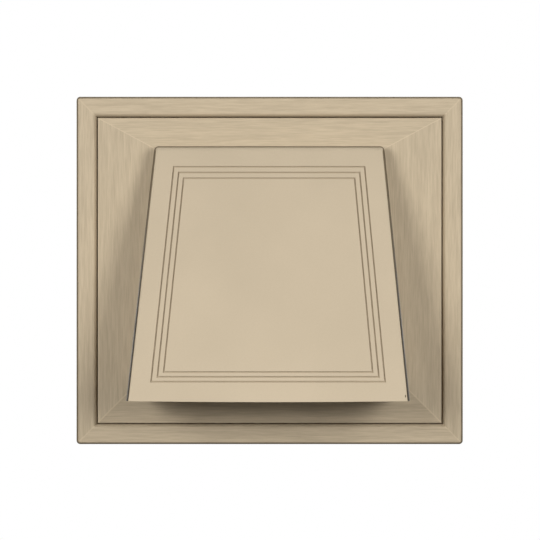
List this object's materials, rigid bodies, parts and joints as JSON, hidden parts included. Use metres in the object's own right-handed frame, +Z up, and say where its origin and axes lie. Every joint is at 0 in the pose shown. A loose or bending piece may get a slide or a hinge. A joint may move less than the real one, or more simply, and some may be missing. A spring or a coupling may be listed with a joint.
{
  "type": "hooded exhaust vent",
  "caption": "Hooded exhaust vent for a siding wall: mitred grained panel, clip-on trim ring, flared hood with pinstripe grooves, duct collar and a top-hinged back-draft flap.",
  "frame": {"origin": "on the duct collar's axis at the wall plane, which is the back face of the nailing flange", "axes": "+Z up the wall, front towards -Y, duct collar towards +Y, +X to the right as seen from the front"},
  "size_m": [0.2096, 0.164, 0.1886],
  "materials": {
    "base_plastic": "wood-grained, matte",
    "ring_plastic": "wood-grained, matte",
    "hood_plastic": "smooth, matte",
    "flap_plastic": "smooth, matte"
  },
  "bodies": {
    "vent": {"mounting_base": "base_plastic", "trim_ring": "ring_plastic", "hood": "hood_plastic"},
    "damper": {"damper_flap": "flap_plastic"}
  },
  "joints": [
    {"name": "flap_hinge", "type": "hinge", "parent": "vent", "child": "damper", "pos_m": [0, -0.00654, 0.0562], "axis": [-1, 0, 0], "range_deg": [0, 36]}
  ]
}
